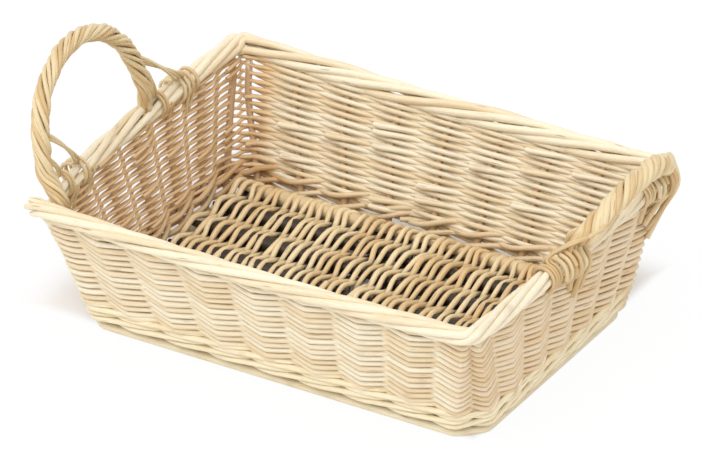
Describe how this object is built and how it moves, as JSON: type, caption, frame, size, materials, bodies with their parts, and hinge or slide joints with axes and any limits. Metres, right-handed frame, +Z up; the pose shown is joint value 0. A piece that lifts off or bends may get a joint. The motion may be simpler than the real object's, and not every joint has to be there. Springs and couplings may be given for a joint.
{
  "type": "willow basket",
  "caption": "Shallow rectangular willow basket with flared sides, a rolled border and a leaning twisted rope handle at each end.",
  "frame": {"origin": "bottom centre of the basket, on the surface that its foot rod stands on", "axes": "+X along the basket towards its right handle, +Y across it towards the back, +Z up"},
  "size_m": [0.4434, 0.306, 0.2111],
  "materials": {
    "foot": "peeled willow, thick rod, satin",
    "floor_stick": "peeled willow, thick rod, satin",
    "floor_weaver": "peeled willow, darker rod, satin",
    "stake": "peeled willow, satin",
    "wale": "peeled willow, satin",
    "siding_a": "peeled willow, satin",
    "siding_b": "peeled willow, satin",
    "handle_bow": "peeled willow, thick rod, satin",
    "handle_strand": "peeled willow, twisted, satin",
    "handle_tie": "peeled willow, thin rod, satin"
  },
  "bodies": {
    "root": {"floor_stick_1": "floor_stick", "floor_stick_2": "floor_stick", "floor_stick_3": "floor_stick", "floor_stick_4": "floor_stick", "floor_stick_5": "floor_stick", "floor_stick_6": "floor_stick", "floor_stick_7": "floor_stick", "floor_weaver": "floor_weaver", "foot_rod": "foot", "left_handle_bow": "handle_bow", "left_handle_strand_1": "handle_strand", "left_handle_strand_2": "handle_strand", "left_handle_strand_3": "handle_strand", "left_handle_strand_4": "handle_strand", "left_handle_tie_front": "handle_tie", "left_handle_tie_rear": "handle_tie", "right_handle_bow": "handle_bow", "right_handle_strand_1": "handle_strand", "right_handle_strand_2": "handle_strand", "right_handle_strand_3": "handle_strand", "right_handle_strand_4": "handle_strand", "right_handle_tie_front": "handle_tie", "right_handle_tie_rear": "handle_tie", "siding_weaver_a": "siding_a", "siding_weaver_b": "siding_b", "stake_01": "stake", "stake_02": "stake", "stake_03": "stake", "stake_04": "stake", "stake_05": "stake", "stake_06": "stake", "stake_07": "stake", "stake_08": "stake", "stake_09": "stake", "stake_10": "stake", "stake_11": "stake", "stake_12": "stake", "stake_13": "stake", "stake_14": "stake", "stake_15": "stake", "stake_16": "stake", "stake_17": "stake", "stake_18": "stake", "stake_19": "stake", "stake_20": "stake", "stake_21": "stake", "stake_22": "stake", "stake_23": "stake", "stake_24": "stake", "stake_25": "stake", "stake_26": "stake", "stake_27": "stake", "stake_28": "stake", "stake_29": "stake", "stake_30": "stake", "stake_31": "stake", "stake_32": "stake", "upsett_wale": "wale"}
  },
  "joints": []
}
